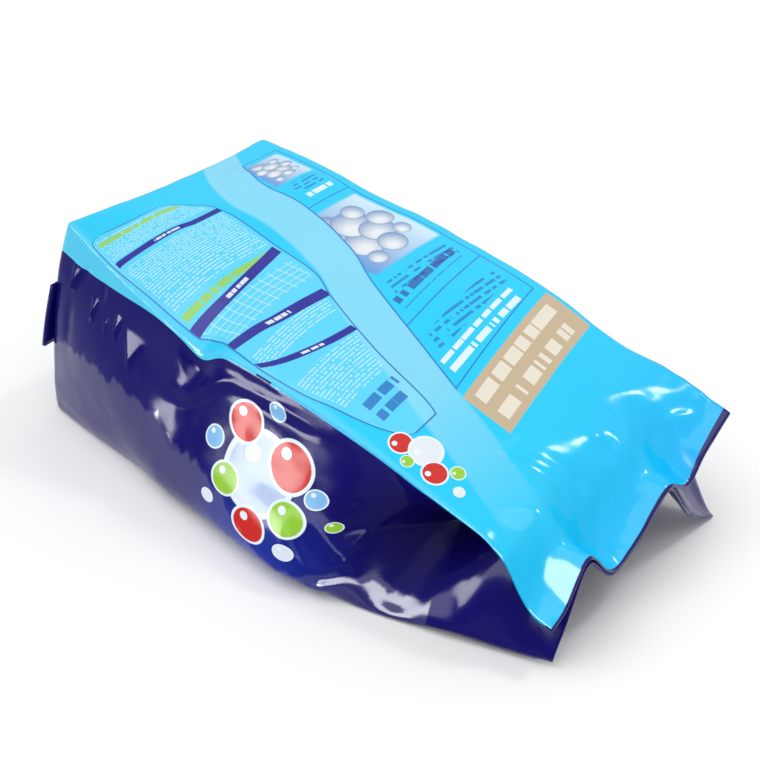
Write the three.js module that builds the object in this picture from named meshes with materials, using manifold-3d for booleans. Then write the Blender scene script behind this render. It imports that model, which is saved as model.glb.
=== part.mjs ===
// A laundry detergent refill pouch: one film bag with side gussets, filled, sealed and lying on its
// front panel. X runs from the bottom end to the top seal, Y from the near side to the far side and
// Z up from the surface below. The sealed pack is one solid, and all sizes are in millimetres.

import * as THREE from 'three';
import { mergeVertices } from 'three/addons/utils/BufferGeometryUtils.js';
import Module from 'manifold-3d';

// Sizes of the bag
const PANEL_WIDTH = 160; // back panel, from fold to fold
const END_HEIGHT = 134; // filled height at the bottom end
const FILLED_LENGTH = 338; // from the foot of the bottom end to the top seal
const TOP_SEAL = 27; // length of the top seal
const TUCK_DEPTH = 58; // depth of each gusset's fold inside the top seal
const SEALED_FILM = 1.2; // two layers of film sealed together, as a solid
const NEAR_BELLY = 37; // furthest that the filled near side stands out
const FAR_BELLY = 26; // the same on the far side

// Sizes of the bottom end
const NEAR_LEAN = 32; // how far the end's near upper corner lies behind the foot
const FAR_LEAN = 28; // the same for its far upper corner
const LEAN_REACH = 110; // length over which the sections come upright
const LEAN_CURVE = 1.7; // 1 for a straight lean, more for one that starts upright
const END_BULGE = 7; // how far the end's middle stands out
const FIN_WIDTH = 46; // bottom seal, folded down against the end
const FIN_HEIGHT = 91; // height of the bottom seal's root
const FIN_OVERHANG = 5; // how far the bottom seal passes each side fold
const FIN_LIFT = 4; // how far its free edge stands off the end
const FIN_ROOT_DEPTH = 1.5; // how deep its root sits in the end

// Sizes of the flaps and dents
const NEAR_FLAP_HEIGHT = 3; // the near front corner of the top seal, above the surface
const FAR_FLAP_HEIGHT = 1; // the far front corner
const FAR_FLAP_RISE = 28; // how much higher that flap stands where the seal starts
const CROWN = 6; // rise of the back panel's middle over its folds
const DENT_DEPTH = 8; // dent in the near fold
const DENT_PLACE = 136; // its distance from the foot of the bottom end
const DENT_REACH = 12; // its half length
const DENT_FADE = 12; // power by which it fades across the panel
const CLOSING_LENGTH = 62; // the front panel rises to the top seal over this length
const FOLDING_LENGTH = 118; // the gussets fold in over this length
const WAVE_LENGTH = 54; // the cut edge's waves reach this far into the film

// Shapes of the long folds: shares of the whole length, then shares of the height or belly
const NEAR_FOLD = [[0.09, 1], [0.25, 0.8], [0.33, 0.71], [0.43, 0.7], [0.62, 0.625], [0.83, 0.478],
  [0.913, 0.4], [0.96, 0.235], [1, 0.187]];
const FAR_FOLD = [[0.08, 1], [0.2, 0.98], [0.34, 0.915], [0.51, 0.855], [0.67, 0.757], [0.82, 0.628],
  [0.9, 0.588], [1, 0.5]];
const BELLY = [[0.08, 0.05], [0.2, 0.37], [0.4, 0.76], [0.6, 1], [0.72, 0.95], [0.84, 0.58], [0.93, 0.18],
  [1, -0.1]];
const CROWN_RISE = [[0.08, -0.6], [0.25, 0.7], [0.5, 1], [0.8, 0.6], [0.92, 0]];

// Waves of the top seal's cut edge: shares of the panel's width, then shares of the end's height
const EDGE_WAVE = [[0, 0], [0.07, 0.02], [0.175, 0.135], [0.33, -0.08], [0.48, -0.075], [0.63, -0.005],
  [0.775, -0.12], [0.85, -0.06], [1, 0]];

// Shape of a filled side between its folds: shares of the belly outwards, then shares of the height
const SIDE_SHOULDER = [0.3, 0.66];
const SIDE_HIP = [1.62, 0.12];
const SIDE_FOOT = [0.7, 0];

// How the two front flaps leave the back ones: a straight share, and a power that keeps them together
const FLAP_STRAIGHT = 0.12;
const NEAR_FLAP_CURL = 5;
const FAR_FLAP_CURL = 1.6;

// Fineness of the mesh
const TUCK_STEPS = 8;
const MIDDLE_STEPS = 6;
const BODY_STEPS = 38;
const SEAL_STEPS = 4;
const END_STEPS = 4;
const FIN_STEPS = [14, 4];

const LENGTH = FILLED_LENGTH + TOP_SEAL;

// A smooth curve through a few points, read at x
function along(points, x) {
  const last = points.length - 1;
  if (x <= points[0][0]) return points[0][1];
  if (x >= points[last][0]) return points[last][1];
  const i = points.findIndex((point, at) => at < last && x < points[at + 1][0]);
  const slope = (a, b) => (points[b][1] - points[a][1]) / (points[b][0] - points[a][0]);
  const tangent = (at) => slope(Math.max(at - 1, 0), Math.min(at + 1, last));
  const width = points[i + 1][0] - points[i][0];
  const t = (x - points[i][0]) / width;
  const fromStart = (1 + 2 * t) * (1 - t) * (1 - t) * points[i][1];
  const toEnd = t * t * (3 - 2 * t) * points[i + 1][1];
  const bend = t * (1 - t) * (1 - t) * tangent(i) - t * t * (1 - t) * tangent(i + 1);
  return fromStart + toEnd + width * bend;
}

const { clamp, lerp, smoothstep } = THREE.MathUtils;

// Cross positions on the panels, as shares of their width, with the same steps over both tucks
function columns() {
  const tuck = TUCK_DEPTH / PANEL_WIDTH;
  const near = Array.from({ length: TUCK_STEPS }, (_, i) => (tuck * i) / TUCK_STEPS);
  const middle = Array.from({ length: MIDDLE_STEPS }, (_, i) => lerp(tuck, 1 - tuck, i / MIDDLE_STEPS));
  const far = Array.from({ length: TUCK_STEPS + 1 }, (_, i) => 1 - tuck + (tuck * i) / TUCK_STEPS);
  return [...near, ...middle, ...far];
}

// Height of the back panel
function backHeight(x, u) {
  const share = x / LENGTH;
  const near = END_HEIGHT * along(NEAR_FOLD, share);
  const far = END_HEIGHT * along(FAR_FOLD, share);
  const crown = CROWN * along(CROWN_RISE, share) * 4 * u * (1 - u);
  const wave = END_HEIGHT * along(EDGE_WAVE, u) * smoothstep(x, LENGTH - WAVE_LENGTH, LENGTH);
  const dent = DENT_DEPTH * Math.exp(-(((x - DENT_PLACE) / DENT_REACH) ** 2)) * (1 - u) ** DENT_FADE;
  return lerp(near, far, u) + crown + wave - dent;
}

// Upright thickness of a sealed pair of layers where the panel slopes
function filmAt(x, u) {
  const step = 1 / (4 * TUCK_STEPS);
  const [a, b] = [Math.max(u - step, 0), Math.min(u + step, 1)];
  const slope = (backHeight(x, b) - backHeight(x, a)) / ((b - a) * PANEL_WIDTH);
  return SEALED_FILM * Math.hypot(1, slope);
}

// How far a side stands out, and how far inside the back fold its front fold lies
function bellyAt(x, near) {
  return (near ? NEAR_BELLY : FAR_BELLY) * along(BELLY, x / LENGTH);
}

function footInset(x, near) {
  return -SIDE_FOOT[0] * bellyAt(x, near);
}

// Cross position on the front panel: its two tucked strips run out to the front folds
function frontAcross(x, u) {
  const tuck = TUCK_DEPTH / PANEL_WIDTH;
  if (u < tuck) return lerp(footInset(x, true), TUCK_DEPTH, u / tuck);
  if (u > 1 - tuck) return PANEL_WIDTH - lerp(footInset(x, false), TUCK_DEPTH, (1 - u) / tuck);
  return PANEL_WIDTH * u;
}

// The place on the back panel straight above a point of the front one
function above(x, u) {
  return clamp(frontAcross(x, u) / PANEL_WIDTH, 0, 1);
}

// How far the panels have closed on each other, 0 in the filled body and 1 in the top seal
function closing(x) {
  return smoothstep(x, FILLED_LENGTH - CLOSING_LENGTH, FILLED_LENGTH);
}

// Share of a front flap's drop, at a share of the way from the gusset's inner fold to the flap's corner
function flapDrop(share, curl) {
  return share > 0 ? lerp(share ** curl, share, FLAP_STRAIGHT) : 0;
}

// Height of the front panel: flat below the filling, then up to the seal, with its corners hanging
function frontHeight(x, u) {
  const tuck = TUCK_DEPTH / PANEL_WIDTH;
  const sealed = (at) => backHeight(x, at) - 2 * filmAt(x, at);
  const farCorner = FAR_FLAP_HEIGHT + FAR_FLAP_RISE * (1 - smoothstep(x, FILLED_LENGTH, LENGTH));
  const near = flapDrop(1 - u / tuck, NEAR_FLAP_CURL) * (sealed(0) - NEAR_FLAP_HEIGHT);
  const far = flapDrop(1 - (1 - u) / tuck, FAR_FLAP_CURL) * (sealed(1) - farCorner);
  return closing(x) * (sealed(above(x, u)) - near - far);
}

// Half section of one side as [inward from the panel's fold, height], from the back fold to the front fold
function sideSection(x, near) {
  const fold = near ? 0 : 1;
  const inward = (u) => (near ? u : 1 - u);
  const belly = bellyAt(x, near);
  const top = backHeight(x, fold) - filmAt(x, fold);
  const bottom = frontHeight(x, fold) + filmAt(x, fold);
  const place = ([out, share]) => new THREE.Vector2(-out * belly, lerp(bottom, top, share));
  const handles = [[0, 1], SIDE_SHOULDER, SIDE_HIP, SIDE_FOOT].map(place);
  const filled = new THREE.CubicBezierCurve(...handles);
  const tuck = TUCK_DEPTH / PANEL_WIDTH;
  const under = (u) => backHeight(x, inward(u)) - filmAt(x, inward(u));
  const over = (u) => frontHeight(x, inward(u)) + filmAt(x, above(x, inward(u)));
  const innerHeight = (under(tuck) + over(tuck)) / 2;
  const folded = smoothstep(x, FILLED_LENGTH - FOLDING_LENGTH, FILLED_LENGTH);
  const points = [];
  for (let i = 0; i <= 2 * TUCK_STEPS; i += 1) {
    const upper = i <= TUCK_STEPS;
    const depth = upper ? i / TUCK_STEPS : 2 - i / TUCK_STEPS;
    const u = tuck * depth;
    const leg = upper ? under : over;
    const height = leg(u) + depth * (innerHeight - leg(tuck));
    const inset = upper ? PANEL_WIDTH * u : lerp(footInset(x, near), TUCK_DEPTH, depth);
    const full = filled.getPoint(i / (2 * TUCK_STEPS));
    points.push([lerp(full.x, inset, folded), lerp(full.y, height, folded)]);
  }
  return points;
}

// One closed section as [y, z] points: back panel, far side, front panel, near side
function section(x) {
  const cross = columns();
  const nearSide = sideSection(x, true);
  const farSide = sideSection(x, false);
  return [
    ...cross.map((u) => [PANEL_WIDTH * u, backHeight(x, u)]),
    ...farSide.map(([inset, z]) => [PANEL_WIDTH - inset, z]),
    ...[...cross].reverse().map((u) => [frontAcross(x, u), frontHeight(x, u)]),
    ...[...nearSide].reverse(),
  ];
}

// The bottom end leans: its points lie further back the higher they are
function leaned(x, y, z) {
  const lean = lerp(NEAR_LEAN, FAR_LEAN, y / PANEL_WIDTH);
  const rise = Math.max(z / END_HEIGHT, 0) ** LEAN_CURVE;
  return x + lean * rise * (1 - smoothstep(x, 0, LEAN_REACH));
}

// How far the end's surface stands out at a share of the way from its rim to its middle
function endBulge(share) {
  return END_BULGE * (1 - (1 - share) ** 2);
}

// Sections from the foot of the bottom end to the cut edge of the top seal
function bodyRings() {
  const stations = [
    ...Array.from({ length: BODY_STEPS }, (_, i) => (FILLED_LENGTH * i) / BODY_STEPS),
    ...Array.from({ length: SEAL_STEPS + 1 }, (_, i) => FILLED_LENGTH + (TOP_SEAL * i) / SEAL_STEPS),
  ];
  const upright = (x) => section(leaned(x, PANEL_WIDTH / 2, END_HEIGHT));
  return stations.map((x) => upright(x).map(([y, z]) => [leaned(x, y, z), y, z]));
}

// Rings that close the bottom end, from near its middle to just inside its rim
function endRings(rim) {
  const centre = [PANEL_WIDTH / 2, END_HEIGHT / 2];
  return Array.from({ length: END_STEPS - 1 }, (_, i) => {
    const size = (i + 1) / END_STEPS;
    return rim.map(([, y, z]) => {
      const [across, height] = [lerp(centre[0], y, size), lerp(centre[1], z, size)];
      return [leaned(0, across, height) - endBulge(1 - size), across, height];
    });
  });
}

// Joins rings into a closed mesh, with a point at the first ring's middle and a flat last ring
function loft(rings, tip) {
  const count = rings[0].length;
  const positions = [...rings.flat(), tip];
  const faces = [];
  for (let r = 0; r + 1 < rings.length; r += 1) {
    for (let i = 0; i < count; i += 1) {
      const [a, b] = [r * count + i, r * count + ((i + 1) % count)];
      faces.push([a, a + count, b + count], [a, b + count, b]);
    }
  }
  for (let i = 0; i < count; i += 1) faces.push([positions.length - 1, i, (i + 1) % count]);
  const outline = rings[rings.length - 1].map(([, y, z]) => new THREE.Vector2(y, z));
  const start = (rings.length - 1) * count;
  const cap = THREE.ShapeUtils.triangulateShape(outline, []);
  faces.push(...cap.map((corners) => corners.map((corner) => start + corner)));
  return indexed(positions, faces);
}

function indexed(positions, faces) {
  const geometry = new THREE.BufferGeometry();
  geometry.setAttribute('position', new THREE.Float32BufferAttribute(positions.flat(), 3));
  geometry.setIndex(faces.flat());
  return geometry;
}

// The bottom seal: a flat fin across the end, folded down, a little proud of both side folds
function finGeometry() {
  const [acrossSteps, downSteps] = FIN_STEPS;
  const shape = new THREE.BoxGeometry(1, 1, 1, 1, acrossSteps, downSteps);
  const place = shape.getAttribute('position');
  for (let i = 0; i < place.count; i += 1) {
    const across = place.getY(i) + 0.5;
    const down = 0.5 - place.getZ(i);
    const y = lerp(-FIN_OVERHANG, PANEL_WIDTH + FIN_OVERHANG, across);
    const z = FIN_HEIGHT - FIN_WIDTH * down;
    const inside = Math.max(1 - Math.abs(2 * across - 1), 0);
    const surface = leaned(0, y, z) - endBulge(inside);
    const stand = lerp(-FIN_ROOT_DEPTH, FIN_LIFT, down);
    place.setXYZ(i, surface - stand + place.getX(i) * 2 * SEALED_FILM, y, z);
  }
  return shape;
}

async function joined(geometries) {
  const wasm = await Module();
  wasm.setup();
  const solids = geometries.map((geometry) => {
    geometry.deleteAttribute('normal');
    geometry.deleteAttribute('uv');
    const merged = mergeVertices(geometry);
    const mesh = new wasm.Mesh({
      numProp: 3,
      vertProperties: new Float32Array(merged.getAttribute('position').array),
      triVerts: new Uint32Array(merged.getIndex().array),
    });
    return new wasm.Manifold(mesh);
  });
  const whole = solids.reduce((sum, solid) => sum.add(solid)).getMesh();
  const geometry = new THREE.BufferGeometry();
  geometry.setAttribute('position', new THREE.BufferAttribute(whole.vertProperties, 3));
  geometry.setIndex(new THREE.BufferAttribute(whole.triVerts, 1));
  return geometry;
}

async function pouchMesh() {
  const body = bodyRings();
  const [y, z] = [PANEL_WIDTH / 2, END_HEIGHT / 2];
  const tip = [leaned(0, y, z) - endBulge(1), y, z];
  const bag = loft([...endRings(body[0]), ...body], tip);
  const geometry = await joined([bag, finGeometry()]);
  geometry.computeBoundingBox();
  const { min, max } = geometry.boundingBox;
  geometry.translate(-(min.x + max.x) / 2, -(min.y + max.y) / 2, -min.z);
  geometry.computeVertexNormals();
  const film = new THREE.MeshStandardMaterial({ color: 0x22b4ee, roughness: 0.22, metalness: 0 });
  const pouch = new THREE.Mesh(geometry, film);
  pouch.name = 'pouch';
  return pouch;
}

const pack = new THREE.Group();
pack.add(await pouchMesh());

export default pack;
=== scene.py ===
"""A laundry detergent refill pouch lying on its front panel, in a plain studio."""

from math import cos, radians, sin

import bpy
import numpy as np
from mathutils import Matrix, Vector, noise
from mathutils.geometry import tessellate_polygon


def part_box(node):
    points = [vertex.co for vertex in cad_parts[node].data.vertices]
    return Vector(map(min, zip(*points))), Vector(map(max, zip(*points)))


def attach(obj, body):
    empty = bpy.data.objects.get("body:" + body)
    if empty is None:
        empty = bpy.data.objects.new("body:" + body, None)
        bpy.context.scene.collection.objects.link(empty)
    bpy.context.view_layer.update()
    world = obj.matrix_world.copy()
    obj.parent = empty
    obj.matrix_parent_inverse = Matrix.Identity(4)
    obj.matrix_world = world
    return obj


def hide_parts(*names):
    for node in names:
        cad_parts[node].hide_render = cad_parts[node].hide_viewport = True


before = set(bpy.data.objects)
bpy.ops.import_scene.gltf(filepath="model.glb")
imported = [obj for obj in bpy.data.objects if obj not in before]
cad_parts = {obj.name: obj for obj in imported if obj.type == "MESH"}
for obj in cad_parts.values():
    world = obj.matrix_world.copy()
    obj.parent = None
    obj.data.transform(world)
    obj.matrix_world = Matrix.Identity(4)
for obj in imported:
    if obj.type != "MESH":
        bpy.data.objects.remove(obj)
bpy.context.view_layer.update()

# Sizes of the bag, in millimetres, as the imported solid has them
PANEL_WIDTH = 160.0
END_HEIGHT = 134.0
FILLED_LENGTH = 338.0
TOP_SEAL = 27.0
TUCK_DEPTH = 58.0
SEALED_FILM = 1.2
NEAR_BELLY, FAR_BELLY = 37.0, 26.0
NEAR_LEAN, FAR_LEAN = 32.0, 28.0
LEAN_REACH, LEAN_CURVE = 110.0, 1.7
END_BULGE = 7.0
FIN_WIDTH, FIN_HEIGHT, FIN_OVERHANG, FIN_LIFT, FIN_ROOT_DEPTH = 46.0, 91.0, 5.0, 4.0, 1.5
NEAR_FLAP_HEIGHT, FAR_FLAP_HEIGHT, FAR_FLAP_RISE = 3.0, 1.0, 28.0
CROWN = 6.0
DENT_DEPTH, DENT_PLACE, DENT_REACH, DENT_FADE = 8.0, 136.0, 12.0, 12
CLOSING_LENGTH, FOLDING_LENGTH, WAVE_LENGTH = 62.0, 118.0, 54.0
FLAP_STRAIGHT, NEAR_FLAP_CURL, FAR_FLAP_CURL = 0.12, 5.0, 1.6
FLAP_SAG, FLAP_SAG_START = 7.0, 0.775  # the far flap hangs smoothly past the seal's lowest wave
LENGTH = FILLED_LENGTH + TOP_SEAL
TUCK = TUCK_DEPTH / PANEL_WIDTH

# Shapes of the long folds, of the seal's cut edge and of a filled side, as shares
NEAR_FOLD = [(0.09, 1), (0.25, 0.8), (0.33, 0.71), (0.43, 0.7), (0.62, 0.625), (0.83, 0.478),
             (0.913, 0.4), (0.96, 0.235), (1, 0.187)]
FAR_FOLD = [(0.08, 1), (0.2, 0.98), (0.34, 0.915), (0.51, 0.855), (0.67, 0.757), (0.82, 0.628), (0.9, 0.588),
            (1, 0.5)]
BELLY = [(0.08, 0.05), (0.2, 0.37), (0.4, 0.76), (0.6, 1), (0.72, 0.95), (0.84, 0.58), (0.93, 0.18), (1, -0.1)]
CROWN_RISE = [(0.08, -0.6), (0.25, 0.7), (0.5, 1), (0.8, 0.6), (0.92, 0)]
EDGE_WAVE = [(0, 0), (0.07, 0.02), (0.175, 0.135), (0.33, -0.08), (0.48, -0.075), (0.63, -0.005),
             (0.775, -0.12), (0.85, -0.06), (1, 0)]
SIDE_SHOULDER, SIDE_HIP, SIDE_FOOT = (0.3, 0.66), (1.62, 0.12), (0.7, 0.0)
SLOPE_STEP = 1 / 32  # the panel's slope is read over this share of its width to each side

# Fineness of the mesh, and how far its folds are rounded
SOFTENING = 5
STATIONS, PANEL_COLUMNS, SIDE_COLUMNS, END_RINGS = 250, 96, 56, 26

# The film laid flat, in millimetres round the bag: back panel, far side, front panel, near side
FAR_START, FRONT_START = PANEL_WIDTH, PANEL_WIDTH + END_HEIGHT
NEAR_START, GIRTH = 2 * PANEL_WIDTH + END_HEIGHT, 2 * (PANEL_WIDTH + END_HEIGHT)
FLAT_MARGIN = 90.0  # room on the flat film for the bottom end
FLAT_LENGTH = LENGTH + FLAT_MARGIN
END_MIDDLE, FIN_START = -0.8 * FLAT_MARGIN, -0.81 * FLAT_MARGIN  # the end's middle lies here, the bottom seal beyond


def smoothstep(x, low, high):
    """0 below the low value, 1 above the high one, and a smooth rise between them."""
    t = np.clip((x - low) / (high - low), 0, 1)
    return t * t * (3 - 2 * t)


def lerp(a, b, t):
    return a + (b - a) * t


def along(points, x):
    """A smooth curve through a few points, read at every x."""
    knots, values = (np.array(column, float) for column in zip(*points))
    last = len(knots) - 1
    before = np.maximum(np.arange(last + 1) - 1, 0)
    after = np.minimum(np.arange(last + 1) + 1, last)
    tangents = (values[after] - values[before]) / (knots[after] - knots[before])
    x = np.clip(x, knots[0], knots[-1])
    i = np.clip(np.searchsorted(knots, x, side="right") - 1, 0, last - 1)
    width = knots[i + 1] - knots[i]
    t = (x - knots[i]) / width
    ends = (1 + 2 * t) * (1 - t) ** 2 * values[i] + t * t * (3 - 2 * t) * values[i + 1]
    return ends + width * (t * (1 - t) ** 2 * tangents[i] - t * t * (1 - t) * tangents[i + 1])


def crease(s, q, start, end, depth, width):
    """A narrow ridge, or a valley where the depth is negative, between two places on the flat film."""
    start, end = np.array(start, float), np.array(end, float)
    run = end - start
    share = np.clip(((s - start[0]) * run[0] + (q - start[1]) * run[1]) / (run @ run), 0, 1)
    away = np.hypot(s - start[0] - share * run[0], q - start[1] - share * run[1])
    taper = np.sin(np.pi * np.clip(0.08 + 0.84 * share, 0, 1))
    return depth * taper * np.exp(-((away / width) ** 1.5))


def dimple(s, q, place, depth, reach):
    """A shallow dent, or a bulge where the depth is negative."""
    return -depth * np.exp(-((s - place[0]) / reach[0]) ** 2 - ((q - place[1]) / reach[1]) ** 2)


def facet(s, q, place, half_width, height, rise):
    """A flat facet that stands further out towards its pointed lower end."""
    down = (place[1] - q) / height
    room = half_width * np.clip(1.2 - down, 0, None) - np.abs(s - place[0])
    return rise * np.clip(down, 0, 1) * smoothstep(room, -0.8, 0.8) * (1 - smoothstep(down, 1, 1.25))


def flank(s, q, nodes, width):
    """A band of film that faces more up or down than its surroundings."""
    at, middle, slope = np.array(nodes).T
    down = np.interp(s, at, middle) - q
    ends = smoothstep(s, at[0] - 8, at[0]) * (1 - smoothstep(s, at[-1], at[-1] + 8))
    return np.interp(s, at, slope) * down * np.exp(-((down / width) ** 2) / 2) * ends


# Creases and dents of the flattened film by the top seal: all its layers follow them together
SEAL_CREASES = [
    ((290, 40), (350, 64), -1.6, 3.4), ((301, 55), (361, 80), -1.3, 3.0), ((312, 46), (352, 52), 0.9, 2.6),
    ((322, 96), (336, 84), 1.2, 2.2), ((330, 100), (354, 92), 1.4, 2.8), ((338, 128), (352, 150), 1.3, 3.0),
    ((340, 60), (364, 66), 1.0, 2.4), ((344, 20), (362, 34), -1.2, 4.0), ((352, 108), (364, 122), -0.9, 3.0),
    ((310, 116), (330, 140), 0.8, 5.0), ((348, 136), (364, 130), 0.7, 2.4),
]
SEAL_DIMPLES = [
    ((334, 68), 0.8, (4, 5)), ((332, 90), 1.2, (4, 7)), ((350, 97), 1.3, (5, 9)), ((341, 131), 1.1, (5, 4)),
    ((326, 112), 1.0, (9, 9)), ((357, 40), 0.8, (7, 6)), ((312, 84), 0.9, (10, 12)), ((353, 152), 0.8, (6, 6)),
]


def seal_relief(x, y):
    """Creases, dents and fine wrinkles of the flattened film."""
    relief = sum(crease(x, y, *one) for one in SEAL_CREASES)
    relief = relief + sum(dimple(x, y, *one) for one in SEAL_DIMPLES)
    fine = 0.35 * np.sin(x / 2.6 + 3 * np.sin(y / 9)) * np.sin(y / 7 + 2 * np.sin(x / 11))
    return relief + fine * smoothstep(x, FILLED_LENGTH - 30, FILLED_LENGTH)


def back_height(x, u):
    """Height of the back panel; u runs from its near fold to its far fold."""
    near = END_HEIGHT * along(NEAR_FOLD, x / LENGTH)
    far = END_HEIGHT * along(FAR_FOLD, x / LENGTH)
    crown = CROWN * along(CROWN_RISE, x / LENGTH) * 4 * u * (1 - u)
    wave = END_HEIGHT * along(EDGE_WAVE, u) * smoothstep(x, LENGTH - WAVE_LENGTH, LENGTH)
    dent = DENT_DEPTH * np.exp(-(((x - DENT_PLACE) / DENT_REACH) ** 2)) * (1 - u) ** DENT_FADE
    return lerp(near, far, u) + crown + wave - dent + seal_relief(x, PANEL_WIDTH * u)


def film_at(x, u):
    """Thickness of the sealed film, measured straight down."""
    low, high = np.maximum(u - SLOPE_STEP, 0), np.minimum(u + SLOPE_STEP, 1)
    slope = (back_height(x, high) - back_height(x, low)) / ((high - low) * PANEL_WIDTH)
    return SEALED_FILM * np.hypot(1, slope)


def closing(x):
    """How far the front panel has risen to the top seal, from 0 to 1."""
    return smoothstep(x, FILLED_LENGTH - CLOSING_LENGTH, FILLED_LENGTH)


def belly_at(x, near):
    return (NEAR_BELLY if near else FAR_BELLY) * along(BELLY, x / LENGTH)


def foot_inset(x, near):
    """How far inward of the back fold the side meets the front panel."""
    return -SIDE_FOOT[0] * belly_at(x, near)


def front_across(x, u):
    """Where the front panel's places lie across the bag, its middle drawn in by the gussets."""
    near = lerp(foot_inset(x, True), TUCK_DEPTH, u / TUCK)
    far = PANEL_WIDTH - lerp(foot_inset(x, False), TUCK_DEPTH, (1 - u) / TUCK)
    return np.where(u < TUCK, near, np.where(u > 1 - TUCK, far, PANEL_WIDTH * u))


def above(x, u):
    """The share of the back panel's width that lies over a place on the front panel."""
    return np.clip(front_across(x, u) / PANEL_WIDTH, 0, 1)


def flap_drop(share, curl):
    """How far a flap has dropped from its root to its edge; more curl keeps the drop for the edge."""
    share = np.maximum(share, 0)
    return lerp(share ** curl, share, FLAP_STRAIGHT)


def sealed_height(x, u):
    return back_height(x, u) - 2 * film_at(x, u)


def front_height(x, u):
    """Height of the front panel, which rises to the top seal and parts there in two flaps."""
    far_corner = FAR_FLAP_HEIGHT + FAR_FLAP_RISE * (1 - smoothstep(x, FILLED_LENGTH, LENGTH))
    near = flap_drop(1 - u / TUCK, NEAR_FLAP_CURL) * (sealed_height(x, 0 * u) - NEAR_FLAP_HEIGHT)
    far = flap_drop(1 - (1 - u) / TUCK, FAR_FLAP_CURL) * (sealed_height(x, 0 * u + 1) - far_corner)
    far = far + FLAP_SAG * np.sin(np.pi * np.clip((u - FLAP_SAG_START) / (1 - FLAP_SAG_START), 0, 1))
    return closing(x) * (sealed_height(x, above(x, u)) - near - far)


def side_surface(x, t, near):
    """Places on a side as (inward of the back fold, height); t runs from the back fold to the front fold."""
    fold = 0 * t + (0 if near else 1)
    inward = (lambda u: u) if near else (lambda u: 1 - u)
    belly = belly_at(x, near)
    top = back_height(x, fold) - film_at(x, fold)
    bottom = front_height(x, fold) + film_at(x, fold)
    weights = [(1 - t) ** 3, 3 * (1 - t) ** 2 * t, 3 * (1 - t) * t * t, t ** 3]
    handles = [(0, 1), SIDE_SHOULDER, SIDE_HIP, SIDE_FOOT]
    full_inset = sum(w * -out * belly for w, (out, _) in zip(weights, handles))
    full_height = sum(w * lerp(bottom, top, share) for w, (_, share) in zip(weights, handles))
    upper = t <= 0.5
    depth = np.where(upper, 2 * t, 2 - 2 * t)
    u = inward(TUCK * depth)
    root = inward(TUCK + 0 * t)
    under = back_height(x, u) - film_at(x, u)
    over = front_height(x, u) + film_at(x, above(x, u))
    under_root = back_height(x, root) - film_at(x, root)
    over_root = front_height(x, root) + film_at(x, above(x, root))
    inner = (under_root + over_root) / 2
    fold_height = np.where(upper, under + depth * (inner - under_root), over + depth * (inner - over_root))
    fold_inset = np.where(upper, TUCK_DEPTH * depth, lerp(foot_inset(x, near), TUCK_DEPTH, depth))
    folded = smoothstep(x, FILLED_LENGTH - FOLDING_LENGTH, FILLED_LENGTH)
    return lerp(full_inset, fold_inset, folded), lerp(full_height, fold_height, folded)


def leaned(s, y, z):
    """Distance from the bottom end's foot, with the sections leaning back near that end."""
    lean = lerp(NEAR_LEAN, FAR_LEAN, y / PANEL_WIDTH)
    rise = np.maximum(z / END_HEIGHT, 0) ** LEAN_CURVE
    return s + lean * rise * (1 - smoothstep(s, 0, LEAN_REACH))


def flat_grid():
    """Where each mesh vertex lies on the flat film: distance along it, and round it."""
    panel = np.linspace(0, 1, PANEL_COLUMNS + 1)
    side = np.linspace(0, 1, SIDE_COLUMNS + 1)
    round_the_bag = np.concatenate([
        PANEL_WIDTH * panel, FAR_START + END_HEIGHT * side,
        FRONT_START + PANEL_WIDTH * panel, NEAR_START + END_HEIGHT * side,
    ])
    stations = np.linspace(0, LENGTH, STATIONS + 1)
    return np.meshgrid(stations, round_the_bag, indexing="ij")


def body_points():
    """The body's vertices, one row for each station."""
    stations, around = flat_grid()
    x = leaned(stations, PANEL_WIDTH / 2, END_HEIGHT)
    panel, side = PANEL_COLUMNS + 1, SIDE_COLUMNS + 1
    cuts = np.cumsum([0, panel, side, panel, side])
    parts = [slice(a, b) for a, b in zip(cuts, cuts[1:])]
    y, z = np.empty_like(x), np.empty_like(x)
    back, far, front, near = parts
    u = around[:, back] / PANEL_WIDTH
    y[:, back], z[:, back] = PANEL_WIDTH * u, back_height(x[:, back], u)
    inset, z[:, far] = side_surface(x[:, far], (around[:, far] - FAR_START) / END_HEIGHT, False)
    y[:, far] = PANEL_WIDTH - inset
    u = 1 - (around[:, front] - FRONT_START) / PANEL_WIDTH
    y[:, front], z[:, front] = front_across(x[:, front], u), front_height(x[:, front], u)
    y[:, near], z[:, near] = side_surface(x[:, near], 1 - (around[:, near] - NEAR_START) / END_HEIGHT, True)
    return np.stack([leaned(stations, y, z), y, z], -1)


def end_bulge(share):
    return END_BULGE * (1 - (1 - share) ** 2)


def end_points(rim):
    """Rings that close the bottom end, from near its middle to just inside its rim."""
    size = (np.arange(1, END_RINGS) / END_RINGS)[:, None]
    y = lerp(PANEL_WIDTH / 2, rim[None, :, 1], size)
    z = lerp(END_HEIGHT / 2, rim[None, :, 2], size)
    return np.stack([leaned(0, y, z) - end_bulge(1 - size), y, z], -1)


def softened(rings, times, weight):
    """Rounds the folds: each point moves towards its neighbours' middle, where the weight lets it."""
    for _ in range(times):
        middle = (np.roll(rings, 1, 1) + np.roll(rings, -1, 1)) / 4 + rings / 2
        ends = np.concatenate([rings[:1], rings, rings[-1:]])
        middle = (ends[:-2] + ends[2:]) / 4 + middle / 2
        rings = lerp(rings, middle, weight)
    return rings


def normals_of(rings):
    across = np.roll(rings, -1, 1) - np.roll(rings, 1, 1)
    lengthwise = np.gradient(rings, axis=0)
    normal = np.cross(lengthwise, across)
    return normal / np.maximum(np.linalg.norm(normal, axis=-1, keepdims=True), 1e-9)


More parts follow.
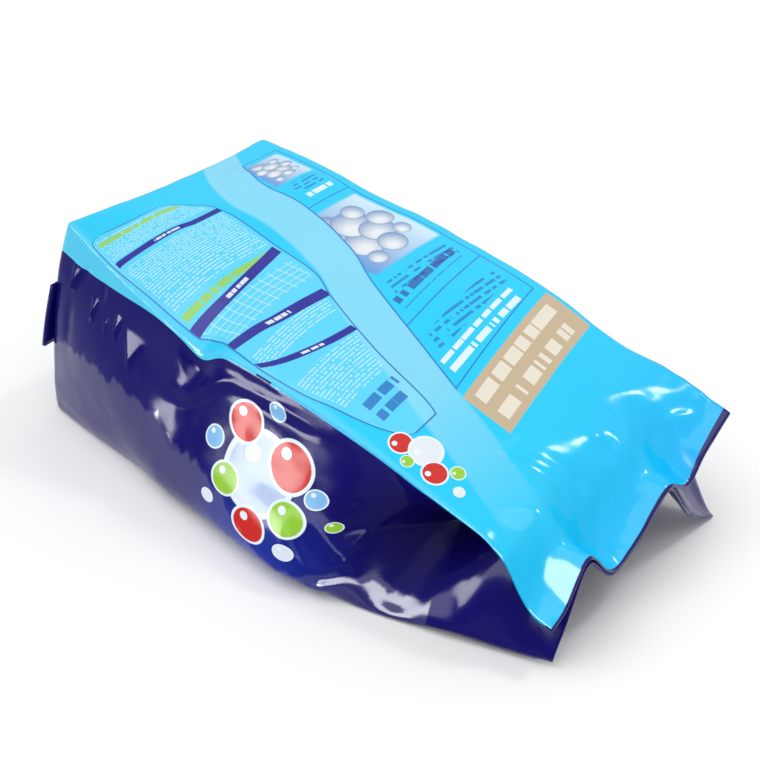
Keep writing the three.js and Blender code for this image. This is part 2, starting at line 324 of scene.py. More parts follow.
# Creases of the filled film: start and end as (along, below or across the near fold), depth, width
CREASES = [
    ((119, -37), (164, -11), 2.2, 4.0), ((120, -46), (160, -20), -1.0, 4.0), ((118, -22), (127, -58), -0.4, 6.0),
    ((251, -96), (258, -84), 1.2, 2.6), ((256, -84), (262, -74), 1.0, 2.4), ((250, -58), (254, -44), 0.8, 2.0),
    ((236, -60), (262, -96), 1.6, 3.0), ((226, -66), (250, -112), -1.8, 4.0), ((270, -40), (252, -84), 1.5, 3.0),
    ((160, -14), (232, -7), 1.2, 3.5), ((165, -20), (225, -16), -1.0, 5.0),
    ((96, 150), (20, 110), 1.2, 8.0), ((60, 20), (20, 60), 1.0, 10.0),
]
# Small dents: place, depth and reach along and across
DIMPLES = [
    ((134, -9), 2.0, (10, 9)), ((114, -46), 2.0, (18, 20)), ((160, -44), 2.0, (22, 16)), ((205, -52), 2.2, (26, 18)),
    ((300, 100), 1.6, (16, 14)), ((20, -52), 1.0, (4, 12)), ((52, -18), 0.9, (3, 6)), ((30, -16), 0.8, (3, 5)),
]
SHOULDER_BULGE = ((70, -50), 3.6, (52, 30))  # the near side stands out below its upper fold
# Small flat facets that face a little up: middle of the upper edge, half width, height and rise
FACETS = [((21, -15), 4.5, 14, 4.8), ((46, -22), 3.6, 13, 3.0), ((61, -28), 3.0, 7, 1.3), ((72, -20), 3.4, 14, 2.4),
          ((88, -25), 7.5, 17, 2.2)]
# A fold low on the near side: along, its middle below the fold and how much more it faces up there
FLANK = [(242, -118, 0.3), (250, -108, 0.39), (258, -104, 0.1), (270, -107, -0.01), (284, -118, -0.19),
         (300, -128, 0.0), (314, -132, 0.5), (326, -135, 0.4)]
FLANK_WIDTH = 6.0
RIPPLE_SIZE, RIPPLE_DEPTH = 46.0, 1.2
CRINKLE_SIZE, CRINKLE_DEPTH = 15.0, 0.28
CALM_SHARE, CALM_ALONG, CALM_BELOW = 0.8, (225, 255), (-85, -60)  # ripples fade over these, low by the top seal
# The folds are rounded, and the relief shown, up to these distances along; it grows in over the other two
ROUNDED_TO, RELIEF_TO = (FILLED_LENGTH - 40, FILLED_LENGTH + 2), (FILLED_LENGTH - 34, FILLED_LENGTH - 6)
RELIEF_FROM, RELIEF_HEIGHTS = (-30, 8), (0, 8)


def film_relief(s, around):
    """How far the film stands off its smooth form, in millimetres."""
    q = np.where(around > NEAR_START - PANEL_WIDTH / 2, around - GIRTH, around)
    relief = np.zeros_like(s)
    for shape, table in ((crease, CREASES), (dimple, DIMPLES), (facet, FACETS)):
        for one in table:
            relief += shape(s, q, *one)
    relief += flank(s, q, FLANK, FLANK_WIDTH)
    relief -= dimple(s, q, *SHOULDER_BULGE)
    angle = 2 * np.pi * around / GIRTH
    radius = GIRTH / (2 * np.pi)
    places = np.stack([s, radius * np.cos(angle), radius * np.sin(angle)], -1)
    ripple = [noise.noise(Vector(p) / RIPPLE_SIZE) * RIPPLE_DEPTH
              + noise.noise(Vector(p) / CRINKLE_SIZE) * CRINKLE_DEPTH for p in places.reshape(-1, 3)]
    calm = 1 - CALM_SHARE * smoothstep(s, *CALM_ALONG) * (1 - smoothstep(q, *CALM_BELOW))
    return relief + np.array(ripple).reshape(s.shape) * calm


def pouch_rings():
    """All the vertices in rings, with their places on the flat film."""
    stations, around = flat_grid()
    body = body_points()
    ends = end_points(body[0])
    rings = np.concatenate([ends, body])
    inside = END_MIDDLE * (1 - np.arange(1, END_RINGS) / END_RINGS)
    s = np.concatenate([np.repeat(inside[:, None], around.shape[1], 1), stations])
    c = np.concatenate([np.repeat(around[:1], END_RINGS - 1, 0), around])
    loose = (1 - smoothstep(s, *ROUNDED_TO))[..., None]
    rings = softened(rings, SOFTENING, loose)
    on_floor = (c > FRONT_START) & (c < NEAR_START)
    relief = film_relief(s, c)
    free = np.where(on_floor, 0, smoothstep(rings[..., 2], *RELIEF_HEIGHTS))
    free = free * (1 - smoothstep(s, *RELIEF_TO))
    rings = rings + normals_of(rings) * (relief * free * smoothstep(s, *RELIEF_FROM))[..., None]
    rings[..., 2] = np.maximum(rings[..., 2], 0)
    return rings, s, c


def centring():
    """The move from the bag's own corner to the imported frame, in millimetres."""
    low, high = (np.array(corner) * 1000 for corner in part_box("pouch"))
    near_reach = min(float(body_points()[..., 1].min()), -FIN_OVERHANG)
    return np.array([high[0] - LENGTH, low[1] - near_reach, 0.0])


def mesh_piece(name, points, faces, flat_places):
    """A smooth piece of film, with each corner's place on the flat film as its UV."""
    mesh = bpy.data.meshes.new(name)
    mesh.from_pydata((points / 1000).tolist(), [], faces)
    layer = mesh.uv_layers.new(name="film")
    layer.data.foreach_set("uv", np.array(flat_places, dtype=np.float32).ravel())
    mesh.polygons.foreach_set("use_smooth", [True] * len(mesh.polygons))
    piece = bpy.data.objects.new(name, mesh)
    bpy.context.collection.objects.link(piece)
    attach(piece, "root")
    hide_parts("pouch")
    return piece


def flat_place(s, c):
    return ((s + FLAT_MARGIN) / FLAT_LENGTH, c / GIRTH)


def make_pouch(move):
    """The bag: rings joined by quads, a fan at the bottom end and a flat face along the cut edge."""
    rings, s, c = pouch_rings()
    rows, count = s.shape
    points = (rings + move).reshape(-1, 3)
    tip = rings[0].mean(0) + move
    points = np.concatenate([points, tip[None]])
    faces, flat = [], []
    c_next = np.concatenate([c[:, 1:], np.full((rows, 1), GIRTH)], 1)
    for r in range(rows - 1):
        for i in range(count):
            j = (i + 1) % count
            faces.append((r * count + i, (r + 1) * count + i, (r + 1) * count + j, r * count + j))
            flat += [flat_place(s[r, i], c[r, i]), flat_place(s[r + 1, i], c[r + 1, i]),
                     flat_place(s[r + 1, i], c_next[r + 1, i]), flat_place(s[r, i], c_next[r, i])]
    for i in range(count):
        j = (i + 1) % count
        faces.append((len(points) - 1, i, j))
        flat += [flat_place(END_MIDDLE, (c[0, i] + c_next[0, i]) / 2),
                 flat_place(s[0, i], c[0, i]), flat_place(s[0, i], c_next[0, i])]
    start = (rows - 1) * count
    outline = [Vector((0, y, z)) for _, y, z in rings[-1]]
    for corners in tessellate_polygon([outline]):
        a, b, d = (outline[k] for k in corners)
        facing_out = (b - a).cross(d - a).x > 0
        corners = corners if facing_out else corners[::-1]
        faces.append(tuple(start + k for k in corners))
        flat += [flat_place(LENGTH, c[-1, k]) for k in corners]
    return mesh_piece("pouch_film", points, faces, flat)


def make_bottom_seal(move):
    """The fin across the bottom end, folded down on it, a little proud of both side folds."""
    across, down = np.meshgrid(np.linspace(0, 1, 61), np.linspace(0, 1, 13), indexing="ij")
    y = lerp(-FIN_OVERHANG, PANEL_WIDTH + FIN_OVERHANG, across)
    z = FIN_HEIGHT - FIN_WIDTH * down
    surface = leaned(0, y, z) - end_bulge(np.maximum(1 - np.abs(2 * across - 1), 0))
    wave = 0.9 * np.sin(7 * across) * down + 0.5 * np.sin(19 * across + 1) * down ** 2
    x = surface - lerp(-FIN_ROOT_DEPTH, FIN_LIFT, down) + wave
    sheets = [np.stack([x + side * SEALED_FILM, y, z], -1) for side in (-1, 1)]
    points = np.concatenate([sheet.reshape(-1, 3) for sheet in sheets]) + move
    rows, count = across.shape
    half = rows * count
    faces = []
    for r in range(rows - 1):
        for i in range(count - 1):
            quad = [r * count + i, (r + 1) * count + i, (r + 1) * count + i + 1, r * count + i + 1]
            faces += [tuple(quad[::-1]), tuple(half + k for k in quad)]
    rim = [r * count for r in range(rows)] + [(rows - 1) * count + i for i in range(1, count)]
    rim += [r * count + count - 1 for r in range(rows - 2, -1, -1)] + [i for i in range(count - 2, 0, -1)]
    faces += [(a, b, half + b, half + a) for a, b in zip(rim, rim[1:] + rim[:1])]
    flat_s = np.tile(-FLAT_MARGIN * (0.82 + 0.16 * down).ravel(), 2)
    flat_c = np.tile((across * (PANEL_WIDTH - 2) + 1).ravel(), 2)
    flat = [flat_place(flat_s[k], flat_c[k]) for face in faces for k in face]
    return mesh_piece("bottom_seal", points, faces, flat)


class Print:
    """Builds a printed film's shader out of fields and shapes on the flat film, in millimetres."""

    def __init__(self, name):
        self.material = bpy.data.materials.new(name)
        self.material.use_nodes = True
        self.nodes = self.material.node_tree.nodes
        self.links = self.material.node_tree.links
        self.shader = self.nodes["Principled BSDF"]
        place = self.nodes.new("ShaderNodeUVMap")
        place.uv_map = "film"
        split = self.nodes.new("ShaderNodeSeparateXYZ")
        self.links.new(place.outputs["UV"], split.inputs[0])
        self.s = self.math("MULTIPLY_ADD", split.outputs["X"], FLAT_LENGTH, -FLAT_MARGIN)
        self.c = self.math("MULTIPLY", split.outputs["Y"], GIRTH)
        on_near = self.math("GREATER_THAN", self.c, NEAR_START)
        self.across = self.math("MULTIPLY_ADD", on_near, -GIRTH, self.c)  # below 0 past the near fold

    def feed(self, socket, value):
        """Gives a socket a number, a colour or another node's output."""
        if isinstance(value, (int, float)):
            socket.default_value = value
        elif isinstance(value, tuple):
            socket.default_value = (*value, 1.0)
        else:
            self.links.new(value, socket)

    def math(self, operation, *values):
        node = self.nodes.new("ShaderNodeMath")
        node.operation = operation
        for socket, value in zip(node.inputs, values):
            self.feed(socket, value)
        return node.outputs[0]

    def add(self, a, b):
        return self.math("ADD", a, b)

    def sub(self, a, b):
        return self.math("SUBTRACT", a, b)

    def times(self, a, b):
        return self.math("MULTIPLY", a, b)

    def both(self, *masks):
        result = masks[0]
        for mask in masks[1:]:
            result = self.times(result, mask)
        return result

    def either(self, *masks):
        result = masks[0]
        for mask in masks[1:]:
            result = self.math("MAXIMUM", result, mask)
        return result

    def flip(self, mask):
        return self.sub(1.0, mask)

    def ramp(self, value, start, end, first=0.0, last=1.0):
        """A value that runs from first to last as the input runs from start to end."""
        node = self.nodes.new("ShaderNodeMapRange")
        self.links.new(value, node.inputs["Value"])
        for socket, number in zip(node.inputs[1:5], (start, end, first, last)):
            socket.default_value = number
        return node.outputs[0]

    def over(self, value, edge, soft=0.0):
        """1 where the value is over the edge, 0 where it is under it."""
        if not soft:
            return self.math("GREATER_THAN", value, edge)
        if not isinstance(edge, (int, float)):
            value, edge = self.sub(value, edge), 0.0
        return self.ramp(value, edge - soft, edge + soft)

    def under(self, value, edge, soft=0.0):
        if not soft:
            return self.math("LESS_THAN", value, edge)
        if not isinstance(edge, (int, float)):
            value, edge = self.sub(value, edge), 0.0
        return self.ramp(value, edge - soft, edge + soft, 1.0, 0.0)

    def within(self, value, low, high, soft=0.0):
        plain = isinstance(low, (int, float)) and isinstance(high, (int, float))
        if plain and not soft:
            return self.math("COMPARE", value, (low + high) / 2, (high - low) / 2)
        return self.both(self.over(value, low, soft), self.under(value, high, soft))

    def curve(self, x, points, x_range=(0.0, LENGTH)):
        """A smooth curve through a few points, as a value of x."""
        node = self.nodes.new("ShaderNodeFloatCurve")
        low, high = x_range
        values = [value for _, value in points]
        base, span = min(values) - 1, max(values) - min(values) + 2
        knots = node.mapping.curves[0].points
        for i, (at, value) in enumerate(points):
            place = ((at - low) / (high - low), (value - base) / span)
            if i < 2:
                knots[i].location = place
            else:
                knots.new(*place)
        node.mapping.extend = "HORIZONTAL"
        node.mapping.update()
        self.links.new(self.ramp(x, low, high), node.inputs["Value"])
        return self.math("MULTIPLY_ADD", node.outputs[0], span, base)

    def noise(self, x, y, scale, detail):
        node = self.nodes.new("ShaderNodeTexNoise")
        node.noise_dimensions = "2D"
        node.inputs["Scale"].default_value = scale
        node.inputs["Detail"].default_value = detail
        self.links.new(self.joined(x, y), node.inputs["Vector"])
        return node.outputs[0]

    def paint(self, under, colour, mask):
        """A colour over what lies under it, where the mask is 1."""
        node = self.nodes.new("ShaderNodeMix")
        node.data_type = "RGBA"
        for socket, value in zip((node.inputs[6], node.inputs[7], node.inputs[0]), (under, colour, mask)):
            self.feed(socket, value)
        return node.outputs[2]

    def distance(self, place, at):
        node = self.nodes.new("ShaderNodeVectorMath")
        node.operation = "DISTANCE"
        self.links.new(place, node.inputs[0])
        node.inputs[1].default_value = (*at, 0.0)
        return node.outputs["Value"]

    def joined(self, x, y):
        node = self.nodes.new("ShaderNodeCombineXYZ")
        self.links.new(x, node.inputs[0])
        self.links.new(y, node.inputs[1])
        return node.outputs[0]

    def repeat(self, value, pitch, share):
        """1 in a band of each pitch, and which pitch it is."""
        turn = self.math("DIVIDE", value, pitch)
        return self.within(self.math("FRACT", turn), 0.5 - share / 2, 0.5 + share / 2), self.math("FLOOR", turn)

    def rows(self, lengthwise, crosswise, pitch, height, word, filled=0.42):
        """Rows of short blocks of uneven length, where a real pack has fine print."""
        inside, row = self.repeat(lengthwise, pitch, height / pitch)
        words = self.noise(self.math("DIVIDE", crosswise, word), self.times(row, 7.3), 1.0, 0.0)
        return self.both(inside, self.over(words, filled))


def srgb(red, green, blue):
    def linear(value):
        value /= 255
        return value / 12.92 if value <= 0.04045 else ((value + 0.055) / 1.055) ** 2.4
    return tuple(linear(value) for value in (red, green, blue))


# Colours of the print, and one darker navy for painted shade
CYAN, PALE_CYAN, EDGE_CYAN = srgb(14, 202, 246), srgb(130, 214, 242), srgb(132, 222, 246)
DEEP_BLUE, NAVY, ROYAL = srgb(0, 176, 246), srgb(20, 14, 104), srgb(20, 54, 172)
# A darker navy painted as shade where the gusset folds in by the top seal
PAINTED_SHADE_NAVY = srgb(9, 6, 58)
BAR_BLUE, LINE_BLUE, WHITE = srgb(30, 34, 150), srgb(16, 92, 186), srgb(230, 242, 248)
GREEN, BEIGE, RED = srgb(150, 205, 60), srgb(196, 176, 146), srgb(206, 38, 32)

# The print on the back panel: curves as (along the film, across the panel), in millimetres
INFO_START, INFO_END = 22.0, 264.0
INFO_LOWER = [(22, 20), (25, 4), (30, 0.6), (40, 0.4), (60, 0.5), (83, 1.6), (103, 3.2), (128, 5), (139, 8), (155, 5),
              (190, 2.5), (223, 6.5), (254, 15), (264, 27)]
INFO_UPPER = [(22, 52), (39, 70), (69, 80), (103, 81), (136, 78), (174, 64), (200, 55), (230, 47), (251, 44),
              (264, 40)]
SWOOSH_MIDDLE = [(0, 121), (60, 101), (105, 103), (146, 92), (183, 73), (219, 59), (257, 47), (300, 34), (365, 8)]
SWOOSH_HALF = 14.0
ROW_FLOW = [(0, 3), (20, 0.5), (40, 0), (60, 2), (80, 4), (160, 8)]
BARS = [  # middle as (across, along), half width, how far across it runs
    ([(3, 59), (20, 55.5), (40, 55), (60, 60), (80, 62)], 3.0, (3, 79)),
    ([(3, 126.5), (20, 124), (40, 123), (80, 118)], 3.6, (5, 78)),
    ([(3, 152), (20, 155), (36, 160), (67, 167)], 3.8, (4, 66)),
    ([(3, 173), (27, 189), (54, 196), (80, 199)], 2.4, (4, 55)),
]
# The left panel's rows, as start and end along the film, the large ones also across it
FINE_ROWS, GREEN_ROWS = [(26, 50), (62, 109), (166, 180), (197, 228)], [(28, 32.5), (112, 117)]
TABLE_ROWS, LARGE_ROWS = (127, 150), ((232, 249.5), (18, 42))
PICTURES = [((27, 74), (118, 149)), ((114, 178), (94, 150))]
FAR_WRAP = 3.0  # the back's print runs this far round the far fold
FRONT_MARGIN, FRONT_PRINT_END = 30.0, 285.0
# On the near side: a brighter royal blue field under the suds, and a darker navy patch of painted shade in the folded
# gusset's hollow
GLOW, PAINTED_GUSSET_SHADE = ((205, 100), 34, 26, 0.75), ((306, 58), 42, 26, 0.9)  # middle, radius, softness, strength
CUT_EDGE = [(0, 364.2), (30, 363.8), (60, 364.0), (90, 363.4), (110, 364.0), (130, 362.6), (160, 361.0)]
PRINT_FOLD = [(0, 17), (25, 15), (60, 10), (91, 5), (109, 2), (130, 0.6), (300, 0.8), (365, 0.8)]

# The film's finish: its reflection is weaker above a ragged line on the near side, and on the bottom end
GLOSS, DULL = 0.56, 0.08
GLOSS_EDGE = [(0, 60), (25, 56), (65, 52), (106, 52), (143, 58), (184, 74), (230, 100), (250, 92), (270, 98),
              (285, 109), (301, 118), (306, 150), (365, 160)]
FILM_IOR, SCUFFS, BUMP_STRENGTH, BUMP_DISTANCE = 1.45, 0.10, 0.12, 0.0006


def info_panel(film, base):
    """The left panel: a thin outline, four bars, green rows, a table and rows of fine print."""
    s, c = film.s, film.across
    lower, upper = film.curve(s, INFO_LOWER), film.curve(s, INFO_UPPER)
    whole = film.both(film.within(c, lower, upper), film.within(s, INFO_START, INFO_END))
    inner = film.both(film.within(c, film.add(lower, 0.9), film.sub(upper, 0.9)),
                      film.within(s, INFO_START + 0.9, INFO_END - 0.9))
    colour = film.paint(base, EDGE_CYAN, film.times(whole, 0.4))
    colour = film.paint(colour, LINE_BLUE, film.times(film.both(whole, film.flip(inner)), 0.85))
    margin = film.both(film.within(c, film.add(lower, 3.5), film.sub(upper, 3.5)), inner)
    along_rows = film.sub(s, film.curve(c, ROW_FLOW, (0, PANEL_WIDTH)))
    fine = film.rows(along_rows, c, 2.3, 0.9, 1.7, 0.38)
    zones = film.either(*(film.within(along_rows, *place) for place in FINE_ROWS))
    colour = film.paint(colour, WHITE, film.times(film.both(fine, zones, margin), 0.5))
    green = film.either(*(film.within(along_rows, *place) for place in GREEN_ROWS))
    greens = film.both(green, margin, film.rows(along_rows, c, 400, 398, 2.6, 0.3))
    colour = film.paint(colour, GREEN, film.times(greens, 0.9))
    lines = film.either(film.repeat(along_rows, 4.4, 0.13)[0], film.repeat(c, 6.2, 0.09)[0])
    table = film.both(film.within(along_rows, *TABLE_ROWS), margin)
    colour = film.paint(colour, WHITE, film.times(film.both(table, lines), 0.5))
    large = film.both(film.rows(film.sub(along_rows, 231), c, 9.0, 5.5, 3.4, 0.36),
                      film.within(along_rows, *LARGE_ROWS[0]), film.within(c, *LARGE_ROWS[1]))
    colour = film.paint(colour, LINE_BLUE, film.times(large, 0.8))
    for middle, half, (start, end) in BARS:
        place = film.curve(c, middle, (0, PANEL_WIDTH))
        bar = film.both(film.within(s, film.sub(place, half), film.add(place, half)), film.within(c, start, end))
        colour = film.paint(colour, BAR_BLUE, film.both(bar, inner))
        label = film.both(film.within(s, film.sub(place, half * 0.4), film.add(place, half * 0.4)),
                          film.within(c, lerp(start, end, 0.38), lerp(start, end, 0.62)),
                          film.rows(s, c, 800, 798, 1.6, 0.4))
        colour = film.paint(colour, WHITE, film.times(label, 0.85))
    return colour


def swoosh(film, base):
    """The pale band along the back panel. Returns the colour and the band's middle."""
    s, c = film.s, film.across
    middle = film.curve(s, SWOOSH_MIDDLE)
    away = film.math("ABSOLUTE", film.sub(c, middle))
    band = film.under(away, SWOOSH_HALF, 1.2)
    fade = film.under(s, 292, 45)
    colour = film.paint(base, PALE_CYAN, film.times(film.both(band, fade), 0.95))
    edge = film.both(film.within(away, SWOOSH_HALF - 0.3, SWOOSH_HALF + 0.3), film.over(c, middle, 0.1))
    return film.paint(colour, LINE_BLUE, film.times(film.both(edge, film.within(s, 20, 262)), 0.7)), middle


def picture_panel(film, base, middle):
    """The right panel: three cells, two with generic pictures of suds, and rows of plain strokes."""
    s, c = film.s, film.across
    lower = film.add(middle, SWOOSH_HALF)
    end = film.math("MULTIPLY_ADD", c, -0.194, 272.6)
    whole = film.both(film.within(c, lower, 153), film.within(s, 21, end))
    inner = film.both(film.within(c, film.add(lower, 0.7), 152.2), film.within(s, 21.8, film.sub(end, 0.8)))
    colour = film.paint(base, LINE_BLUE, film.times(film.both(whole, film.flip(inner)), 0.8))
    slant = film.math("MULTIPLY_ADD", c, 0.135, s)
    dividers = film.either(film.within(s, 106.4, 107.2), film.within(slant, 226.0, 226.8))
    colour = film.paint(colour, LINE_BLUE, film.times(film.both(dividers, inner), 0.75))
    for place in PICTURES:
        colour = suds_picture(film, colour, *place, inner)
    small = film.rows(s, c, 4.2, 1.9, 3.6, 0.4)
    zones = film.either(film.within(s, 184, 197), film.within(slant, 237, 250), film.within(s, 78, 92))
    small = film.both(small, zones, film.within(c, film.add(lower, 8), 146))
    colour = film.paint(colour, LINE_BLUE, film.times(small, 0.7))
    blue = film.both(film.rows(film.add(slant, 2), c, 9.5, 5.6, 3.2, 0.34), film.within(slant, 209.5, 219),
                     film.within(c, 84, 144))
    colour = film.paint(colour, BAR_BLUE, film.times(blue, 0.75))
    pale = film.both(film.rows(film.add(slant, 8.5), c, 9.5, 6.2, 3.0, 0.34), film.within(slant, 253, 263),
                     film.within(c, 68, 142))
    pale_upper = film.both(film.rows(film.add(s, 3.2), c, 9.5, 5.6, 3.0, 0.34), film.within(s, 95, 103),
                           film.within(c, 126, 147))
    return film.paint(colour, WHITE, film.times(film.either(pale, pale_upper), 0.9))


# Suds in each picture: place and radius as shares of its size
PICTURE_SUDS = [(0.2, 0.3, 0.2), (0.42, 0.2, 0.17), (0.62, 0.34, 0.22), (0.34, 0.52, 0.24), (0.56, 0.62, 0.2),
                (0.78, 0.56, 0.16), (0.2, 0.7, 0.13), (0.44, 0.82, 0.15), (0.7, 0.82, 0.1), (0.84, 0.26, 0.11)]


def suds_picture(film, base, across_s, across_c, inner):
    """A picture of white suds on water: soft fields and round shapes with pale rims."""
    s, c = film.s, film.across
    (s0, s1), (c0, c1) = across_s, across_c
    inside = film.both(film.within(s, s0, s1, 1.2), film.within(c, c0, c1, 1.2), inner)
    water = film.ramp(c, c0, c1)
    colour = film.paint(srgb(96, 150, 214), srgb(206, 232, 246), water)
    width, height = s1 - s0, c1 - c0
    place = film.joined(s, c)
    for at_s, at_c, size in PICTURE_SUDS:
        at = (s0 + width * at_s, c0 + height * at_c)
        away, radius = film.distance(place, at), size * height
        shade = film.distance(place, (at[0] + radius * 0.3, at[1] - radius * 0.3))
        colour = film.paint(colour, srgb(122, 152, 196), film.under(away, radius, 0.5))
        lit = film.both(film.under(away, radius * 0.92, 0.5), film.under(shade, radius * 0.8, radius * 0.5))
        colour = film.paint(colour, srgb(226, 232, 236), lit)
    return film.paint(base, colour, inside)


def beige_band(film, base):
    """The slanted band below the right panel, with two rows of pale blocks."""
    s, c = film.s, film.across
    slant = film.math("MULTIPLY_ADD", c, 0.175, s)
    band = film.both(film.within(slant, 276.5, 306.5), film.within(c, 58, 156))
    colour = film.paint(base, BEIGE, band)
    blocks = film.rows(film.sub(slant, 277.5), c, 14.0, 7.5, 4.6, 0.4)
    rows = film.both(blocks, film.within(slant, 278.5, 304.5), film.within(c, 64, 150))
    return film.paint(colour, srgb(232, 226, 212), film.times(rows, 0.9))


def bubbles(film, base, across, s, discs):
    """A generic cluster of suds: round fields, each with a pale rim and a small glint."""
    colour = base
    place = film.joined(s, across)
    for at, radius, fill in discs:
        away = film.distance(place, at)
        glint = film.distance(place, (at[0] - radius * 0.32, at[1] - radius * 0.36))
        colour = film.paint(colour, WHITE, film.under(away, radius))
        colour = film.paint(colour, fill, film.under(away, radius * 0.86))
        colour = film.paint(colour, WHITE, film.under(glint, radius * 0.22))
    return colour


BACK_SUDS = [((262, 14), 6.5, RED), ((274, 19), 9.0, srgb(226, 232, 240)), ((285, 12), 7.0, RED),
             ((293, 20), 4.0, GREEN), ((271, 8), 3.6, GREEN), ((300, 12), 3.0, srgb(226, 232, 240))]
SIDE_SUDS = [((196, 52), 25.0, srgb(186, 206, 240)), ((178, 30), 12.5, RED), ((214, 38), 15.5, RED),
             ((222, 66), 12.0, GREEN), ((176, 66), 10.5, GREEN), ((200, 84), 13.0, RED),
             ((234, 48), 6.5, srgb(130, 190, 240)), ((160, 48), 7.0, srgb(130, 190, 240)),
             ((226, 88), 6.5, srgb(224, 232, 246)), ((196, 14), 6.0, srgb(130, 190, 240)),
             ((166, 84), 5.0, srgb(224, 232, 246)), ((246, 64), 4.0, GREEN)]


def back_print(film):
    """The back panel's print, deeper blue towards the far end of the top seal."""
    s, c = film.s, film.c
    deep = film.over(film.math("MULTIPLY_ADD", c, 0.3, s), 372, 56)
    cyan = film.paint(CYAN, DEEP_BLUE, film.times(deep, 0.85))
    pale_fold = film.both(film.under(film.across, 2.0, 3.0), film.under(s, 250, 60))
    cyan = film.paint(cyan, PALE_CYAN, film.times(pale_fold, 0.4))
    back, middle = swoosh(film, cyan)
    back = info_panel(film, back)
    back = picture_panel(film, back, middle)
    back = beige_band(film, back)
    return bubbles(film, back, film.across, s, BACK_SUDS)


def side_print(film, below):
    """The sides' navy, brighter under the cluster of suds, with shade painted in as a darker navy where the gusset
    folds in.
    """
    colour = NAVY
    # The second patch paints shade into the navy in the gusset's hollow
    for tint, (at, radius, soft, strength) in ((ROYAL, GLOW), (PAINTED_SHADE_NAVY, PAINTED_GUSSET_SHADE)):
        patch = film.under(film.distance(film.joined(film.s, below), at), radius, soft)
        colour = film.paint(colour, tint, film.times(patch, strength))
    return bubbles(film, colour, below, film.s, SIDE_SUDS)


def add_finish(film, on_near, below):
    """Scuffs in the roughness, the two degrees of gloss and a faint bump."""
    s, c, inputs = film.s, film.c, film.shader.inputs
    film.links.new(film.math("MULTIPLY_ADD", film.noise(s, c, 0.05, 4.0), SCUFFS, SCUFFS), inputs["Roughness"])
    inputs["IOR"].default_value = FILM_IOR
    ragged = film.noise(film.times(s, 4), below, 0.03, 3.0)
    edge = film.math("MULTIPLY_ADD", ragged, 16, film.curve(s, GLOSS_EDGE))
    dull = film.either(film.both(on_near, film.under(below, edge, 1.5)), film.under(s, -2, 2))
    film.links.new(film.ramp(dull, 0, 1, GLOSS, DULL), inputs["Specular IOR Level"])
    bump = film.nodes.new("ShaderNodeBump")
    bump.inputs["Strength"].default_value = BUMP_STRENGTH
    bump.inputs["Distance"].default_value = BUMP_DISTANCE
    film.links.new(film.noise(s, c, 0.12, 3.0), bump.inputs["Height"])
    film.links.new(bump.outputs[0], inputs["Normal"])


def printed_film():
    film = Print("printed_film")
    s, c = film.s, film.c
    below, on_near = film.sub(GIRTH, c), film.over(c, NEAR_START)
    wrap = film.both(on_near, film.under(below, film.curve(s, PRINT_FOLD)))
    on_back = film.either(wrap, film.under(c, PANEL_WIDTH + FAR_WRAP))
    colour = film.paint(side_print(film, below), back_print(film), on_back)
    field = film.within(c, FRONT_START + FRONT_MARGIN, NEAR_START - FRONT_MARGIN)
    front = film.paint(CYAN, NAVY, film.flip(field))
    front = film.paint(front, NAVY, film.over(s, FRONT_PRINT_END))
    colour = film.paint(colour, front, film.within(c, FRONT_START, NEAR_START))
    end_navy = film.both(film.under(s, -5), film.over(c, PANEL_WIDTH))
    colour = film.paint(colour, NAVY, film.times(end_navy, 0.9))
    cut = film.over(s, film.curve(c, CUT_EDGE, (0, PANEL_WIDTH)))
    colour = film.paint(colour, NAVY, film.either(cut, film.under(s, FIN_START)))
    film.links.new(colour, film.shader.inputs["Base Color"])
    add_finish(film, on_near, below)
    return film.material


def plain_material(name, colour, roughness):
    material = bpy.data.materials.new(name)
    material.use_nodes = True
    shader = material.node_tree.nodes["Principled BSDF"]
    shader.inputs["Base Color"].default_value = (*colour, 1.0)
    shader.inputs["Roughness"].default_value = roughness
    return material


# The studio, in metres and degrees
CAMERA_AZIMUTH, CAMERA_ELEVATION, CAMERA_LENS = 40.19, 31.28, 66.3
CAMERA_FROM_CORNER = (0.623, -0.4292, 0.4616)  # from the near front corner of the bottom end
FLOOR_REACH, FLOOR_DROP, FLOOR_COLOUR = 6.0, 0.0004, (0.94, 0.94, 0.94)
ROOM_LIGHT, ROOM_RISE = (0.45, 0.8), (0.2, 0.7)  # low and high in the room; the heights where it changes
AREA_LIGHTS = [  # name, place, what it faces, size, watts, whether only the film's gloss shows it
    ("window", (-1.0, -1.68, 0.44), (0, 0, 0.05), (0.66, 0.44), 50, True),
    ("strip", (0.15, -1.66, 0.97), (0.1, -0.1, 0.02), (2.2, 0.6), 63, True),
    ("back", (0.57, 0.8, 1.6), (0.14, 0, 0.05), (0.24, 0.28), 4.5, False),
]


def make_camera(move):
    azimuth, elevation = radians(CAMERA_AZIMUTH), radians(CAMERA_ELEVATION)
    back = Vector((sin(azimuth) * cos(elevation), -cos(azimuth) * cos(elevation), sin(elevation)))
    right = Vector((cos(azimuth), sin(azimuth), 0))
    upward = back.cross(right)
    camera = bpy.data.objects.new("camera", bpy.data.cameras.new("camera"))
    camera.data.lens = CAMERA_LENS
    camera.data.sensor_width = 36.0
    camera.data.clip_start = 0.01
    turn = Matrix((right, upward, back)).transposed().to_4x4()
    camera.matrix_world = Matrix.Translation(Vector(CAMERA_FROM_CORNER) + Vector(move / 1000)) @ turn
    bpy.context.collection.objects.link(camera)
    bpy.context.scene.camera = camera


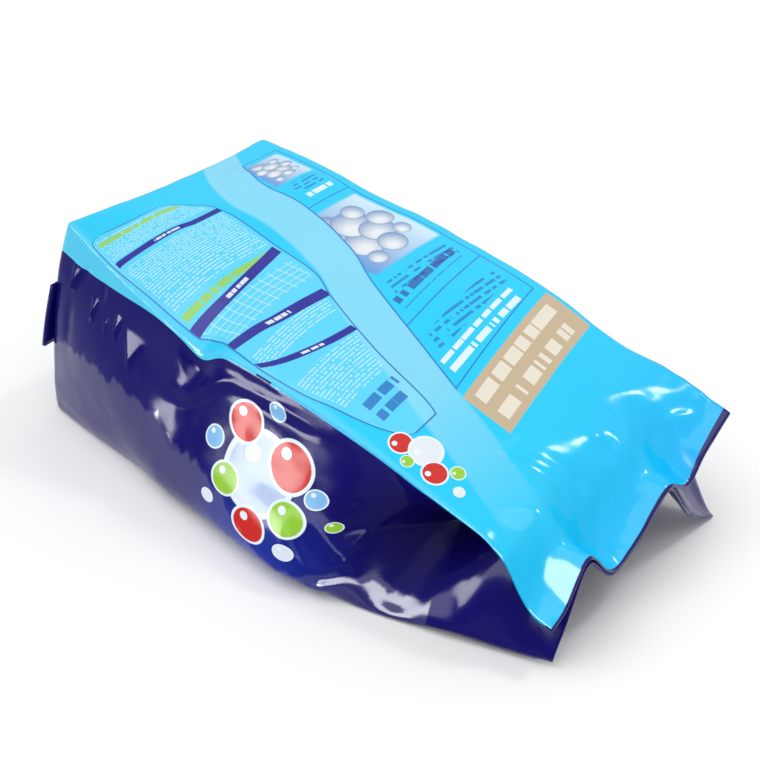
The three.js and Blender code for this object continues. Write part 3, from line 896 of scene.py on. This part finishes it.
def make_floor():
    mesh = bpy.data.meshes.new("floor")
    corners = [(x * FLOOR_REACH, y * FLOOR_REACH, 0) for x, y in ((-1, -1), (1, -1), (1, 1), (-1, 1))]
    mesh.from_pydata(corners, [], [(0, 1, 2, 3)])
    floor = bpy.data.objects.new("floor", mesh)
    floor.location.z = -FLOOR_DROP
    bpy.context.collection.objects.link(floor)
    mesh.materials.append(plain_material("floor", FLOOR_COLOUR, 0.9))


def area_light(name, place, aim, size, power, gloss_only):
    light = bpy.data.lights.new(name, "AREA")
    light.shape = "RECTANGLE"
    light.size, light.size_y = size
    light.energy = power
    lamp = bpy.data.objects.new(name, light)
    lamp.location = place
    lamp.rotation_euler = (Vector(aim) - Vector(place)).to_track_quat("-Z", "Y").to_euler()
    lamp.visible_diffuse = not gloss_only
    bpy.context.collection.objects.link(lamp)


def distant_light(name, towards, angle, strength):
    light = bpy.data.lights.new(name, "SUN")
    light.energy, light.angle = strength, radians(angle)
    lamp = bpy.data.objects.new(name, light)
    lamp.rotation_euler = Vector(towards).to_track_quat("Z", "Y").to_euler()
    bpy.context.collection.objects.link(lamp)


def make_lights():
    """A room that is brighter above, a wide soft light overhead and the area lights."""
    world = bpy.data.worlds.new("studio")
    world.use_nodes = True
    nodes, links = world.node_tree.nodes, world.node_tree.links
    split = nodes.new("ShaderNodeSeparateXYZ")
    links.new(nodes.new("ShaderNodeTexCoord").outputs["Generated"], split.inputs[0])
    rise = nodes.new("ShaderNodeMapRange")
    rise.interpolation_type = "SMOOTHSTEP"
    for socket, number in zip(rise.inputs[1:5], (*ROOM_RISE, *ROOM_LIGHT)):
        socket.default_value = number
    links.new(split.outputs["Z"], rise.inputs["Value"])
    links.new(rise.outputs[0], nodes["Background"].inputs["Strength"])
    nodes["Background"].inputs["Color"].default_value = (1, 1, 1, 1)
    bpy.context.scene.world = world
    bpy.context.scene.view_settings.view_transform = "Standard"
    distant_light("overhead", (-0.15, -0.3, 0.94), 60, 0.92)
    for one in AREA_LIGHTS:
        area_light(*one)


move = centring()
make_camera(move)
make_floor()
make_lights()
film_material = printed_film()
for piece in (make_pouch(move), make_bottom_seal(move)):
    piece.data.materials.append(film_material)
